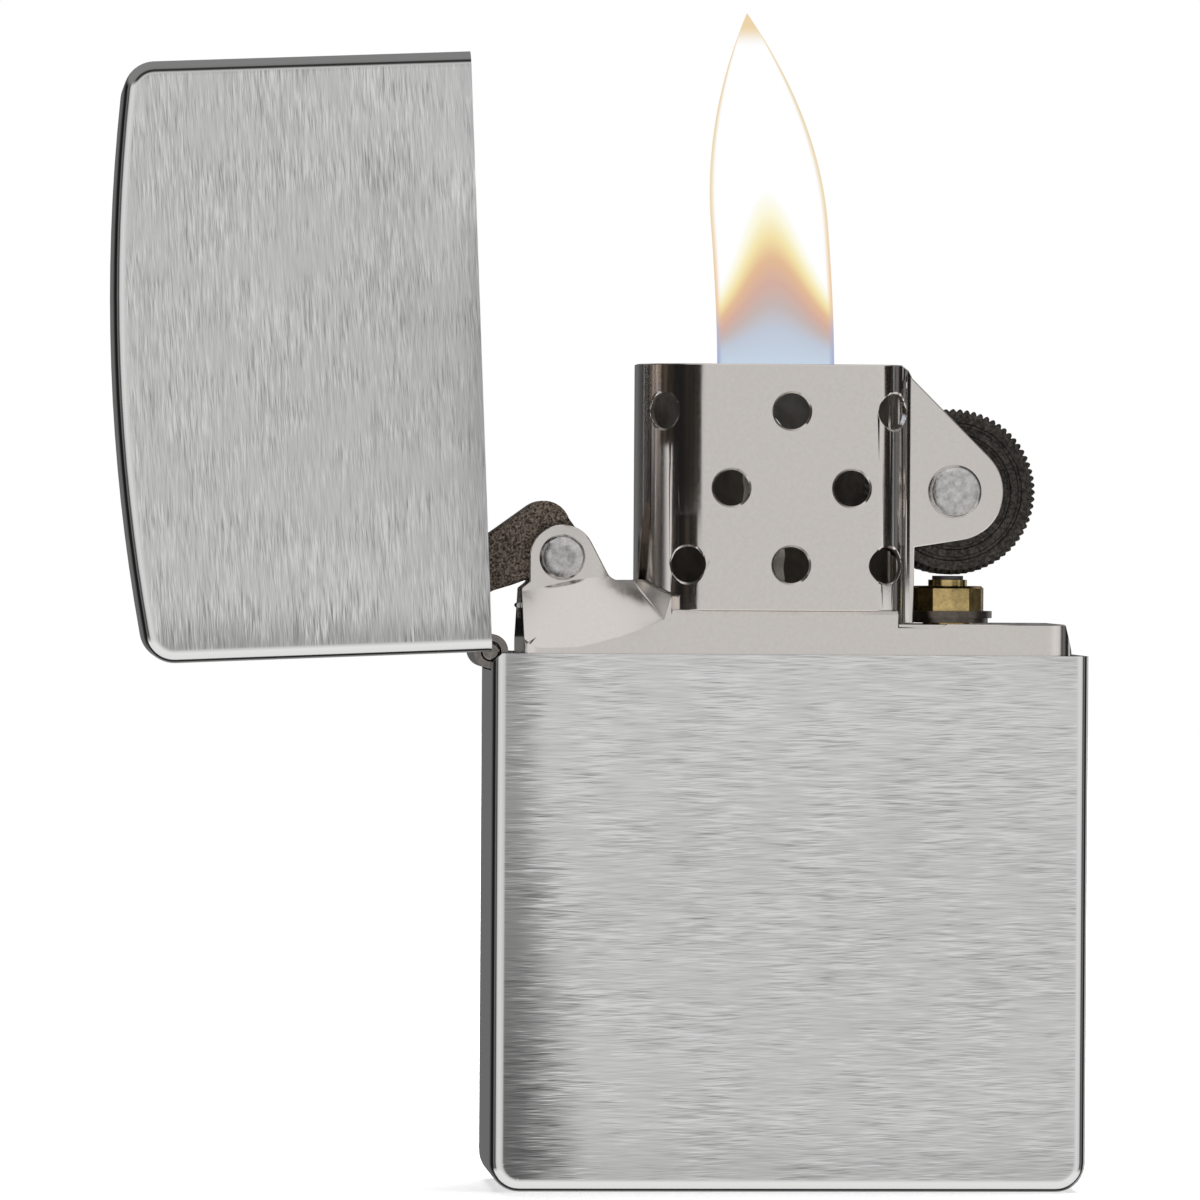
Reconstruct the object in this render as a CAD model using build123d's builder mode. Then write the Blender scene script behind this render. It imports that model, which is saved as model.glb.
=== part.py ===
from build123d import *
import math
import os

os.makedirs("parts", exist_ok=True)

# A flip-top petrol lighter with its lid standing open. All sizes are millimetres.
# x runs from the hinge (-x) to the flint wheel (+x), the front faces -y, and z is up.
# The origin is the middle of the case's base. The two flat sides are alike.

# ------------------------------------------------------------------ driving dimensions
# case and lid
case_width = 38.1
case_depth = 12.7
case_rim = 34.2
case_floor = 0.8
case_corner = 1.9
wall = 0.65
face_round = 1.0
inner_round = 0.35
rim_cut = 0.6
base_recess_width = 30.0
base_recess_depth = 8.0
base_recess_corner = 3.0
base_recess = 0.2
lid_rim = 34.35
lid_top = 57.6
lid_crown_radius = 123.0
lid_corner = 2.0
lid_open_angle = 92.4

# hinge
hinge_z = 34.3
barrel_radius = 1.1
barrel_bore = 0.65
barrel_clearance = 0.12
pin_radius = 0.6
knuckle_count = 5
knuckle_pitch = 1.7
knuckle_length = 1.6
leaf_thickness = 0.45
leaf_start = 1.25
case_leaf_reach = 5.8
lid_leaf_reach = 5.7

# insert: tank, shoulder and windscreen, bent from one sheet
sheet = 0.4
tank_left = -17.7
tank_right = 18.2
tank_half_depth = 5.45
tank_corner = 2.0
tank_bottom = 1.5
tank_top = 36.2
tank_inner_top = 34.1
upper_cavity_left = -8.8
upper_cavity_right = 17.2
collar_left = -7.6
collar_right = 6.9
collar_top = 37.0
collar_chamfer = 0.24
slope_start = (18.2, 34.3)
slope_end = (17.65, 36.2)
screen_top = 52.7
screen_half_depth = 5.2
screen_end_centre = (-5.4, -1.0)
screen_end_radius = 4.2
screen_bend_centre = (5.3, -3.0)
screen_bend_radius = 2.2
screen_bend_turn = 60
screen_tuck_radius = 0.8
wheel_ear_half_depth = 3.7
wheel_ear_radius = 3.15
wheel_ear_bottom_left = (8.05, 41.08)
wheel_ear_lean = 7.7
wheel_ear_slope = 4.98
screen_corner_start = (7.6, 52.35)
screen_corner_end = 7.1
screen_foot_right = 7.95
hole_radius = 1.15
hole_rim = 0.13
hole_rows = (49.7, 44.8, 39.9)
hole_offset = 3.85
hole_cut_length = 3.0
hole_rim_cut = 0.6

# cam ears and cam
cam_pivot = (-14.4, 40.3)
cam_ear_radius = 2.1
cam_ear_lean = 28
valley_start = (-11.5, 39.3)
valley_middle = (-11.15, 38.95)
valley_end = (-10.6, 38.85)
cam_ear_half_depth = 2.2
cam_channel_half_depth = 1.8
cam_channel_left = -16.6
cam_channel_wall_top = 36.4
cam_half_depth = 1.5
cam_bore = 0.85
cam_rivet_radius = 0.8
cam_rivet_head = 1.45
cam_rivet_head_height = 0.35

# leaf spring under the cam
spring_strip_half_depth = 1.2
spring_strip_thickness = 0.3
spring_rivet_x = -11.2
spring_rivet_radius = 0.5
spring_rivet_head = 0.9
spring_rivet_head_height = 0.25

# flint wheel
wheel_centre = (10.6, 44.65)
wheel_radius = 5.35
wheel_tooth_depth = 0.28
wheel_teeth = 72
wheel_half_depth = 2.8
wheel_chamfer = 0.35
wheel_bore = 0.95
wheel_rivet_radius = 0.9
wheel_rivet_head = 1.7
wheel_rivet_head_height = 0.45

# flint train
tube_x = wheel_centre[0]
tube_outer = 1.6
tube_inner = 1.08
tube_bottom = 2.7
tube_shoulder = 37.2
tube_neck = 1.25
tube_top = 39.0
flint_radius = 1.0
flint_bottom = 34.8
flint_top = 39.25
tip_bottom = 33.6
coil_bottom = 8.0
coil_radius = 0.72
coil_wire = 0.13
coil_turns = 18
screw_head_bottom = 1.6
screw_head_top = 2.6
screw_head_radius = 2.2
collar_flats = 4.5
collar_neck_top = 38.6
washer_radius = 2.85
washer_bore = 1.62

# top plate, wick, cotton and felt
plate_bottom = 35.75
plate_thickness = 0.4
plate_gap = 0.05
wick_x = -0.6
wick_radius = 1.45
wick_top = 49.5
wick_clearance = 0.15
cotton_bottom = 3.2
cotton_top = 34.0
cotton_wads = 5
cotton_gap = 0.1
felt_top = 3.0

# ------------------------------------------------------------------ planes and shared places
hinge_x = -case_width / 2
open_angle = math.radians(lid_open_angle)
# Both hinge planes start at the hinge axis; local x runs across the lighter, local y along its height.
case_plane = Plane(origin=(hinge_x, 0, hinge_z), x_dir=(1, 0, 0), z_dir=(0, -1, 0))
lid_plane = Plane(
    origin=(hinge_x, 0, hinge_z),
    x_dir=(math.cos(open_angle), 0, math.sin(open_angle)),
    z_dir=(0, -1, 0),
)
lid_rim_plane = Plane(
    origin=lid_plane.from_local_coords((0, lid_rim - hinge_z, 0)),
    z_dir=lid_plane.y_dir,
)
barrel_length = knuckle_pitch * knuckle_count
far = 60.0


def save(builder, name):
    """Label a finished piece and write it to its own file."""
    builder.part.label = name
    export_step(builder.part, f"parts/{name}.step")


# ------------------------------------------------------------------ case and lid
def case_outline(inset, floor):
    """The case seen from the front, open at the top, drawn inset from its outer faces."""
    half_width = case_width / 2 - inset
    with BuildSketch() as outline:
        with BuildLine():
            Polyline(
                (-half_width, far),
                (-half_width, floor),
                (half_width, floor),
                (half_width, far),
                close=True,
            )
        make_face()
        fillet(outline.vertices().group_by(Axis.Y)[0], radius=case_corner - inset)
    return outline.sketch


def lid_outline(inset):
    """The lid seen from the front, measured from the hinge axis: straight sides and a shallow crown."""
    half_width = case_width / 2 - inset
    middle = case_width / 2
    crown = lid_top - hinge_z - inset
    crown_radius = lid_crown_radius - inset
    crown_drop = crown_radius - math.sqrt(crown_radius**2 - half_width**2)
    with BuildSketch() as outline:
        with BuildLine():
            crown_arc = ThreePointArc(
                (middle - half_width, crown - crown_drop),
                (middle, crown),
                (middle + half_width, crown - crown_drop),
            )
            Polyline(
                crown_arc @ 1,
                (middle + half_width, -far),
                (middle - half_width, -far),
                crown_arc @ 0,
            )
        make_face()
        fillet(outline.vertices().group_by(Axis.Y)[-1], radius=lid_corner - inset)
    return outline.sketch


def pressed_block(outline, plane, half_depth, edge_radius):
    """The outline given its depth, with the edges of the front and back faces rounded."""
    with BuildPart() as block:
        with BuildSketch(plane):
            add(outline)
        extrude(amount=half_depth, both=True)
        faces = block.faces().sort_by(Axis.Y)
        fillet(faces[0].edges() + faces[-1].edges(), radius=edge_radius)
    return block.part


case_outer = pressed_block(case_outline(0, 0), Plane.XZ, case_depth / 2, face_round)
case_inner = pressed_block(case_outline(wall, case_floor), Plane.XZ, case_depth / 2 - wall, inner_round)
with BuildPart() as case_shell:
    add(case_outer)
    add(case_inner, mode=Mode.SUBTRACT)
    split(bisect_by=Plane.XY.offset(case_rim), keep=Keep.BOTTOM)
    with BuildSketch(Plane.XY):
        RectangleRounded(base_recess_width, base_recess_depth, base_recess_corner)
    extrude(amount=base_recess, mode=Mode.SUBTRACT)
    # The wall beside the hinge is notched for the barrel, and its corner is cut back.
    with BuildSketch(case_plane):
        Circle(barrel_radius + barrel_clearance)
    extrude(amount=barrel_length / 2 + barrel_clearance, both=True, mode=Mode.SUBTRACT)
    with BuildSketch(Plane.XZ):
        with BuildLine():
            Polyline(
                (hinge_x, case_rim - rim_cut),
                (hinge_x + rim_cut, case_rim),
                (hinge_x, case_rim),
                close=True,
            )
        make_face()
    extrude(amount=case_depth, both=True, mode=Mode.SUBTRACT)
save(case_shell, "case_shell")

lid_outer = pressed_block(lid_outline(0), lid_plane, case_depth / 2, face_round)
lid_inner = pressed_block(lid_outline(wall), lid_plane, case_depth / 2 - wall, inner_round)
with BuildPart() as lid_shell:
    add(lid_outer)
    add(lid_inner, mode=Mode.SUBTRACT)
    split(bisect_by=lid_rim_plane, keep=Keep.TOP)
    with BuildSketch(lid_plane):
        Circle(barrel_radius + barrel_clearance)
    extrude(amount=barrel_length / 2 + barrel_clearance, both=True, mode=Mode.SUBTRACT)
save(lid_shell, "lid_shell")


# ------------------------------------------------------------------ hinge
def hinge_leaf(plane, side, reach, knuckles):
    """A plate against the inner wall with its rolled knuckles; side is 1 above the axis, -1 below."""
    plate_x = wall + leaf_thickness / 2
    with BuildPart() as leaf:
        with BuildSketch(plane):
            with Locations((plate_x, side * (leaf_start + reach) / 2)):
                Rectangle(leaf_thickness, reach - leaf_start)
        extrude(amount=barrel_length / 2, both=True)
        for number in knuckles:
            knuckle_y = (number - (knuckle_count - 1) / 2) * knuckle_pitch
            with BuildSketch(plane.offset(-knuckle_y)):
                Circle(barrel_radius)
                with Locations((plate_x, side * leaf_start / 2)):
                    Rectangle(leaf_thickness, leaf_start)
            extrude(amount=knuckle_length / 2, both=True)
        with BuildSketch(plane):
            Circle(barrel_bore)
        extrude(amount=barrel_length, both=True, mode=Mode.SUBTRACT)
    return leaf


save(hinge_leaf(case_plane, -1, case_leaf_reach, (1, 3)), "case_hinge_leaf")
save(hinge_leaf(lid_plane, 1, lid_leaf_reach, (0, 2, 4)), "lid_hinge_leaf")

with BuildPart() as hinge_pin:
    with BuildSketch(case_plane):
        Circle(pin_radius)
    extrude(amount=barrel_length / 2, both=True)
save(hinge_pin, "hinge_pin")


# ------------------------------------------------------------------ insert shell
def screen_plan(inset):
    """The windscreen from above: a round left end, flat sides, and sides drawn in to the wheel ears."""
    reach = 20.0
    turned = math.radians(screen_bend_turn - 90)
    centre_distance = screen_bend_radius + screen_tuck_radius
    tuck_centre = (
        screen_bend_centre[0] + centre_distance * math.cos(turned),
        screen_bend_centre[1] + centre_distance * math.sin(turned),
    )
    with BuildSketch() as plan:
        with BuildLine():
            left_end = CenterArc(screen_end_centre, screen_end_radius - inset, 180, 90)
            bend = CenterArc(screen_bend_centre, screen_bend_radius - inset, -90, screen_bend_turn)
            tuck = CenterArc(
                tuck_centre,
                screen_tuck_radius + inset,
                screen_bend_turn + 90,
                -screen_bend_turn,
            )
            Line(left_end @ 1, bend @ 0)
            ear_side = Line(tuck @ 1, (reach, (tuck @ 1).Y))
            Line(ear_side @ 1, (reach, 0))
            Line((screen_end_centre[0] - screen_end_radius + inset, 0), left_end @ 0)
            mirror(about=Plane.XZ)
        make_face()
    return plan.sketch


def screen_elevation():
    """The windscreen from the front: its rim, the sloping edge, and the round ear for the wheel."""
    left = screen_end_centre[0] - screen_end_radius
    base = tank_inner_top
    with BuildSketch() as elevation:
        with BuildLine():
            ear = CenterArc(wheel_centre, wheel_ear_radius, wheel_ear_lean - 90, 135 - wheel_ear_lean)
            slope = Line(ear @ 1, ear @ 1 + Vector(-1, 1) * wheel_ear_slope)
            Polyline(
                slope @ 1,
                screen_corner_start,
                (screen_corner_end, screen_top),
                (left, screen_top),
                (left, base),
                (screen_foot_right, base),
                wheel_ear_bottom_left,
                ear @ 0,
            )
        make_face()
    return elevation.sketch


def above_tank():
    """All that lies above the tank, the shoulder and the cam ears, seen from the front."""
    ear_right = math.radians(cam_ear_lean)
    with BuildSketch() as sky:
        with BuildLine():
            ear = CenterArc(cam_pivot, cam_ear_radius, cam_ear_lean, 180 - cam_ear_lean)
            ear_side_top = (
                cam_pivot[0] + cam_ear_radius * math.cos(ear_right),
                cam_pivot[1] + cam_ear_radius * math.sin(ear_right),
            )
            Line(valley_start, ear_side_top)
            valley = ThreePointArc(valley_start, valley_middle, valley_end)
            Polyline(
                ear @ 1,
                (-16.5, 38.7),
                (-17.0, 38.3),
                (-17.0, tank_inner_top - 0.1),
                (-far, tank_inner_top - 0.1),
                (-far, far),
                (far, far),
                (far, slope_start[1]),
                slope_start,
                slope_end,
                (10.0, tank_top),
                (9.7, tank_top - 0.2),
                (collar_right, tank_top - 0.2),
                (collar_right, collar_top),
                (collar_left, collar_top),
                (collar_left, 37.9),
                (-9.3, 38.85),
                valley @ 1,
            )
        make_face()
    return sky.sketch


def shoulder_cutter(side):
    """What the press takes off beside the cam ears: a ruled form that widens towards the outside."""
    outside = side * (tank_half_depth + 0.01)
    ear_face = side * cam_ear_half_depth
    with BuildPart() as cutter:
        with BuildSketch(Plane.XZ.offset(-outside)):
            with BuildLine():
                fold = ThreePointArc((-13.7, 34.6), (-10.9, 35.3), (-8.1, 36.4))
                Polyline(fold @ 1, (-7.6, 37.9), (-7.6, far), (-20.0, far), (-20.0, 34.4), fold @ 0)
            make_face()
        with BuildSketch(Plane.XZ.offset(-ear_face)):
            with BuildLine():
                Polyline(
                    (-13.7, 38.85),
                    (-10.2, 39.3),
                    (-9.75, 39.6),
                    (-9.75, far),
                    (-20.0, far),
                    (-20.0, 37.4),
                    close=True,
                )
            make_face()
        loft(ruled=True)
    return cutter.part


def hole_places(side):
    """The windscreen holes of one side (-1 front, 1 back): angle round the wall's bend, x and height.

    The back's two rows lie between the front's three, so that no light passes straight through.
    """
    top, middle, low = hole_rows
    if side < 0:
        upper_row = (("end", 41, top), (0.0, 0, top), ("bend", 38, top))
        middle_row = ((-hole_offset, 0, middle), (hole_offset, 0, middle))
        lower_row = (("end", 17, low), (0.0, 0, low), ("bend", 24, low))
        return upper_row + middle_row + lower_row
    between = ((top + middle) / 2, (middle + low) / 2)
    flat_places = (-hole_offset, 0.0, hole_offset)
    flat_holes = [(x, 0, height) for height in between for x in flat_places]
    end_holes = [("end", 28, height) for height in between]
    return flat_holes + end_holes


def hole_plane(place, side):
    """A plane on the windscreen's outer face, facing outwards."""
    where, degrees, height = place
    angle = math.radians(degrees)
    if where == "end":
        centre, radius, lean = screen_end_centre, screen_end_radius, -1
    elif where == "bend":
        centre, radius, lean = screen_bend_centre, screen_bend_radius, 1
    else:
        centre, radius, lean = (where, -screen_half_depth), 0, 1
    x = centre[0] + lean * radius * math.sin(angle)
    y = centre[1] - radius * math.cos(angle)
    return Plane(
        origin=(x, -side * y, height),
        z_dir=(lean * math.sin(angle), side * math.cos(angle), 0),
    )


with BuildPart() as tank_and_shoulder:
    with BuildSketch(Plane.XY.offset(tank_bottom)):
        with Locations(((tank_left + tank_right) / 2, 0)):
            RectangleRounded(tank_right - tank_left, 2 * tank_half_depth, tank_corner)
    extrude(amount=45 - tank_bottom)
    with BuildSketch(Plane.XZ):
        add(above_tank())
    extrude(amount=case_depth, both=True, mode=Mode.SUBTRACT)
    add(shoulder_cutter(-1), mode=Mode.SUBTRACT)
    add(shoulder_cutter(1), mode=Mode.SUBTRACT)
    collar_edges = tank_and_shoulder.edges().filter_by(Axis.X).filter_by_position(
        Axis.Z, collar_top - 0.01, collar_top + 0.01
    )
    chamfer(collar_edges, length=collar_chamfer)

with BuildPart() as windscreen:
    with BuildSketch(Plane.XY.offset(tank_inner_top)):
        add(screen_plan(0))
    extrude(amount=screen_top - tank_inner_top)
    with BuildSketch(Plane.XZ):
        add(screen_elevation())
    extrude(amount=case_depth, both=True, mode=Mode.INTERSECT)

with BuildPart() as insert_shell:
    add(tank_and_shoulder.part)
    add(windscreen.part)
    # the tank's fuel room, its upper room under the windscreen, and the windscreen's own room
    with BuildSketch(Plane.XY.offset(tank_bottom)):
        with Locations(((tank_left + tank_right) / 2, 0)):
            RectangleRounded(
                tank_right - tank_left - 2 * sheet,
                2 * (tank_half_depth - sheet),
                tank_corner - sheet,
            )
    extrude(amount=tank_inner_top - tank_bottom, mode=Mode.SUBTRACT)
    with BuildSketch(Plane.XY.offset(tank_inner_top)):
        with Locations(((upper_cavity_left + upper_cavity_right) / 2, 0)):
            RectangleRounded(
                upper_cavity_right - upper_cavity_left,
                2 * (tank_half_depth - sheet),
                tank_corner - sheet,
            )
    extrude(amount=tank_top - tank_inner_top, mode=Mode.SUBTRACT)
    with BuildSketch(Plane.XY.offset(tank_top)):
        add(screen_plan(sheet))
    extrude(amount=far, mode=Mode.SUBTRACT)
    # the channel between the cam ears, open to the left above its low end wall
    with BuildSketch(Plane.XZ):
        with BuildLine():
            Polyline(
                (cam_channel_left, tank_inner_top),
                (cam_channel_left, cam_channel_wall_top),
                (-far, cam_channel_wall_top),
                (-far, far),
                (screen_end_centre[0] - screen_end_radius, far),
                (screen_end_centre[0] - screen_end_radius, tank_top),
                (upper_cavity_left + 0.2, tank_top),
                (upper_cavity_left + 0.2, tank_inner_top),
                close=True,
            )
        make_face()
    extrude(amount=cam_channel_half_depth, both=True, mode=Mode.SUBTRACT)
    for side in (-1, 1):
        for place in hole_places(side):
            with Locations(hole_plane(place, side)):
                Cylinder(hole_radius, hole_cut_length, mode=Mode.SUBTRACT)
                with Locations((0, 0, hole_rim_cut / 2 - hole_rim)):
                    Cone(hole_radius, hole_radius + hole_rim_cut, hole_rim_cut, mode=Mode.SUBTRACT)
    with BuildSketch(Plane.XZ):
        with Locations(cam_pivot):
            Circle(cam_rivet_radius)
        with Locations(wheel_centre):
            Circle(wheel_rivet_radius)
    extrude(amount=case_depth, both=True, mode=Mode.SUBTRACT)
save(insert_shell, "insert_shell")

# ------------------------------------------------------------------ top plate and leaf spring
plate_left = upper_cavity_left + plate_gap
plate_right = upper_cavity_right - plate_gap
tongue_left = -16.5
with BuildPart() as top_plate:
    with BuildSketch(Plane.XY.offset(plate_bottom)):
        with Locations(((plate_left + plate_right) / 2, 0)):
            RectangleRounded(
                plate_right - plate_left,
                2 * (tank_half_depth - sheet - plate_gap),
                tank_corner - sheet,
            )
        with Locations(((tongue_left + plate_left + 2) / 2, 0)):
            Rectangle(plate_left + 2 - tongue_left, 2 * (cam_channel_half_depth - plate_gap))
        with Locations((wick_x, 0)):
            Circle(wick_radius + wick_clearance, mode=Mode.SUBTRACT)
        with Locations((tube_x, 0)):
            Circle(tube_outer, mode=Mode.SUBTRACT)
        with Locations((spring_rivet_x, 0)):
            Circle(spring_rivet_radius, mode=Mode.SUBTRACT)
    extrude(amount=plate_thickness)
save(top_plate, "top_plate")

plate_top = plate_bottom + plate_thickness
strip_z = plate_top + spring_strip_thickness / 2
with BuildPart() as cam_spring:
    with BuildSketch(Plane.XZ):
        with BuildLine():
            FilletPolyline(
                (-10.1, strip_z),
                (-12.2, strip_z),
                (-13.4, 37.95),
                (-15.0, 38.05),
                (-17.1, 37.2),
                radius=0.5,
            )
            offset(amount=spring_strip_thickness / 2)
        make_face()
    extrude(amount=spring_strip_half_depth, both=True)
    with BuildSketch(Plane.XY.offset(plate_top)):
        with Locations((spring_rivet_x, 0)):
            Circle(spring_rivet_radius)
    extrude(amount=spring_strip_thickness, mode=Mode.SUBTRACT)
save(cam_spring, "cam_spring")


# ------------------------------------------------------------------ rivets
def rivet_profile(shaft_radius, low, high, head_radius, head_height):
    """Half of a rivet set at both ends, along local y: a shaft with a low dome on each end."""
    rise = 0.6 * head_height
    dome_radius = (head_radius**2 + rise**2) / (2 * rise)
    dome_turn = math.degrees(math.asin(head_radius / dome_radius))
    with BuildSketch() as profile:
        with BuildLine():
            top_centre = (0, high + head_height - dome_radius)
            dome = CenterArc(top_centre, dome_radius, 90 - dome_turn, dome_turn)
            bottom_centre = (0, low - head_height + dome_radius)
            cup = CenterArc(bottom_centre, dome_radius, -90, dome_turn)
            Polyline(
                cup @ 1,
                (head_radius, low),
                (shaft_radius, low),
                (shaft_radius, high),
                (head_radius, high),
                dome @ 0,
            )
            Line(dome @ 1, cup @ 0)
        make_face()
    return profile.sketch


def cross_rivet(centre, shaft_radius, grip, head_radius, head_height):
    """A rivet that runs front to back through two ears."""
    plane = Plane(origin=(centre[0], 0, centre[1]), x_dir=(1, 0, 0), z_dir=(0, 0, 1))
    with BuildPart() as rivet:
        with BuildSketch(plane):
            add(rivet_profile(shaft_radius, -grip, grip, head_radius, head_height))
        revolve(axis=Axis((centre[0], 0, centre[1]), (0, 1, 0)))
    return rivet


cam_rivet = cross_rivet(
    cam_pivot, cam_rivet_radius, cam_ear_half_depth, cam_rivet_head, cam_rivet_head_height
)
save(cam_rivet, "cam_rivet")
wheel_rivet = cross_rivet(
    wheel_centre, wheel_rivet_radius, wheel_ear_half_depth, wheel_rivet_head, wheel_rivet_head_height
)
save(wheel_rivet, "wheel_rivet")

with BuildPart() as cam_spring_rivet:
    with BuildSketch(Plane.XZ.move(Location((spring_rivet_x, 0, 0)))):
        add(
            rivet_profile(
                spring_rivet_radius,
                plate_bottom,
                plate_top + spring_strip_thickness,
                spring_rivet_head,
                spring_rivet_head_height,
            )
        )
    revolve(axis=Axis((spring_rivet_x, 0, 0), (0, 0, 1)))
save(cam_spring_rivet, "cam_spring_rivet")

# ------------------------------------------------------------------ cam
cam_plane = Plane(origin=(cam_pivot[0], 0, cam_pivot[1]), x_dir=(1, 0, 0), z_dir=(0, -1, 0))
with BuildPart() as cam:
    with BuildSketch(cam_plane):
        with BuildLine():
            cam_top = ThreePointArc((0.45, 2.5), (-0.7, 3.55), (-2.1, 3.3))
            cam_tip = ThreePointArc((-6.55, 0.1), (-6.9, -0.6), (-6.9, -1.4))
            Line(cam_top @ 1, cam_tip @ 0)
            Polyline(
                cam_tip @ 1,
                (-6.9, -3.0),
                (-6.3, -3.2),
                (-4.35, -2.15),
                (-3.2, -1.8),
                (-2.1, -1.4),
                (-0.5, -1.9),
                (1.7, -0.8),
                (1.6, 0.9),
                cam_top @ 0,
            )
        make_face()
        Circle(cam_bore, mode=Mode.SUBTRACT)
    extrude(amount=cam_half_depth, both=True)
save(cam, "cam")

# ------------------------------------------------------------------ flint wheel
tooth_step = 360 / wheel_teeth
with BuildPart() as flint_wheel:
    with BuildSketch(Plane.XZ):
        with Locations(wheel_centre):
            Circle(wheel_radius)
    extrude(amount=wheel_half_depth, both=True)
    chamfer(flint_wheel.edges().filter_by(GeomType.CIRCLE), length=wheel_chamfer)
    with BuildSketch(Plane.XZ):
        with Locations(wheel_centre):
            Circle(wheel_bore)
            with PolarLocations(wheel_radius, wheel_teeth, start_angle=tooth_step / 2):
                RegularPolygon(wheel_tooth_depth, 4)
    extrude(amount=case_depth, both=True, mode=Mode.SUBTRACT)
save(flint_wheel, "flint_wheel")

# ------------------------------------------------------------------ flint tube and its seat
with BuildPart() as flint_tube:
    with BuildSketch(Plane.XY.offset(tube_bottom)):
        with Locations((tube_x, 0)):
            Circle(tube_outer)
    extrude(amount=tube_shoulder - tube_bottom)
    with BuildSketch(Plane.XY.offset(tube_shoulder)):
        with Locations((tube_x, 0)):
            Circle(tube_neck)
    extrude(amount=tube_top - tube_shoulder)
    with BuildSketch(Plane.XY.offset(tube_bottom)):
        with Locations((tube_x, 0)):
            Circle(tube_inner)
    extrude(amount=tube_top - tube_bottom, mode=Mode.SUBTRACT)
save(flint_tube, "flint_tube")

with BuildPart() as tube_washer:
    for height, radius in ((tank_top + 0.05, washer_radius - 0.25), (tank_top + 0.35, washer_radius)):
        with BuildSketch(Plane.XY.offset(height)):
            with Locations((tube_x, 0)):
                Circle(radius)
        extrude(amount=collar_top - height)
    with BuildSketch(Plane.XY.offset(tank_top)):
        with Locations((tube_x, 0)):
            Circle(washer_bore)
    extrude(amount=1.0, mode=Mode.SUBTRACT)
save(tube_washer, "tube_washer")

with BuildPart() as tube_collar:
    with BuildSketch(Plane.XY.offset(collar_top)):
        with Locations((tube_x, 0)):
            RegularPolygon(collar_flats / 2, 12, major_radius=False)
    extrude(amount=collar_neck_top - collar_top)
    chamfer(tube_collar.edges().group_by(Axis.Z)[-1], length=0.15)
    with BuildSketch(Plane.XY.offset(tube_shoulder)):
        with Locations((tube_x, 0)):
            Circle(tube_neck)
    extrude(amount=2.0, mode=Mode.SUBTRACT)
    with BuildSketch(Plane.XY.offset(collar_top)):
        with Locations((tube_x, 0)):
            Circle(tube_outer)
    extrude(amount=tube_shoulder - collar_top, mode=Mode.SUBTRACT)
save(tube_collar, "tube_collar")

# ------------------------------------------------------------------ flint, spring and screw
with BuildPart() as flint:
    with BuildSketch(Plane.XY.offset(flint_bottom)):
        with Locations((tube_x, 0)):
            Circle(flint_radius)
    extrude(amount=flint_top - flint_bottom)
save(flint, "flint")

with BuildPart() as spring_tip:
    with BuildSketch(Plane.XY.offset(tip_bottom)):
        with Locations((tube_x, 0)):
            Circle(flint_radius)
    extrude(amount=flint_bottom - tip_bottom)
    chamfer(spring_tip.edges().group_by(Axis.Z)[0], length=0.2)
save(spring_tip, "spring_tip")

coil_height = tip_bottom - coil_bottom - 2 * coil_wire
with BuildPart() as flint_spring:
    with BuildLine():
        coil_path = Helix(
            pitch=coil_height / coil_turns,
            height=coil_height,
            radius=coil_radius,
            center=(tube_x, 0, coil_bottom + coil_wire),
        )
    with BuildSketch(Plane(origin=coil_path @ 0, z_dir=coil_path % 0)):
        Circle(coil_wire)
    sweep()
save(flint_spring, "flint_spring")

with BuildPart() as flint_screw:
    with BuildSketch(Plane.XY.offset(screw_head_bottom)):
        with Locations((tube_x, 0)):
            Circle(screw_head_radius)
    extrude(amount=screw_head_top - screw_head_bottom)
    with BuildSketch(Plane.XY.offset(screw_head_top)):
        with Locations((tube_x, 0)):
            Circle(flint_radius)
    extrude(amount=coil_bottom - screw_head_top)
    with BuildSketch(Plane.XY.offset(screw_head_bottom)):
        with Locations((tube_x, 0)):
            Rectangle(2 * screw_head_radius, 0.6)
    extrude(amount=0.4, mode=Mode.SUBTRACT)
save(flint_screw, "flint_screw")


# ------------------------------------------------------------------ wick, cotton and felt
def wick_form(radius):
    """The wick: straight down from its lit end, then in slack bends through the cotton."""
    with BuildPart() as form:
        with BuildLine():
            path = FilletPolyline(
                (wick_x, 0, wick_top),
                (wick_x, 0, 30.0),
                (-4.5, 0, 23.5),
                (2.5, 0, 17.0),
                (-4.5, 0, 10.5),
                (wick_x, 0, 5.0),
                radius=3.0,
            )
        with BuildSketch(Plane(origin=path @ 0, z_dir=path % 0)):
            Circle(radius)
        sweep()
    return form


save(wick_form(wick_radius), "wick")
wick_room = wick_form(wick_radius + wick_clearance).part

wad_pitch = (cotton_top - cotton_bottom) / cotton_wads
room_width = tank_right - tank_left - 2 * sheet - 2 * plate_gap
room_depth = 2 * (tank_half_depth - sheet - plate_gap)
for number in range(cotton_wads):
    with BuildPart() as cotton_wad:
        with BuildSketch(Plane.XY.offset(cotton_bottom + number * wad_pitch)):
            with Locations(((tank_left + tank_right) / 2, 0)):
                RectangleRounded(room_width, room_depth, tank_corner - sheet)
            with Locations((tube_x, 0)):
                Circle(tube_outer + wick_clearance, mode=Mode.SUBTRACT)
        extrude(amount=wad_pitch - cotton_gap)
        add(wick_room, mode=Mode.SUBTRACT)
    save(cotton_wad, f"cotton_wad_{number + 1}")

with BuildPart() as felt_pad:
    with BuildSketch(Plane.XY.offset(tank_bottom)):
        with Locations(((tank_left + tank_right) / 2, 0)):
            RectangleRounded(room_width, room_depth, tank_corner - sheet)
        with Locations((tube_x, 0)):
            Circle(screw_head_radius + wick_clearance, mode=Mode.SUBTRACT)
    extrude(amount=felt_top - tank_bottom)
save(felt_pad, "felt_pad")
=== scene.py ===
import math

import bmesh
import bpy
from mathutils import Matrix, Vector


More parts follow.
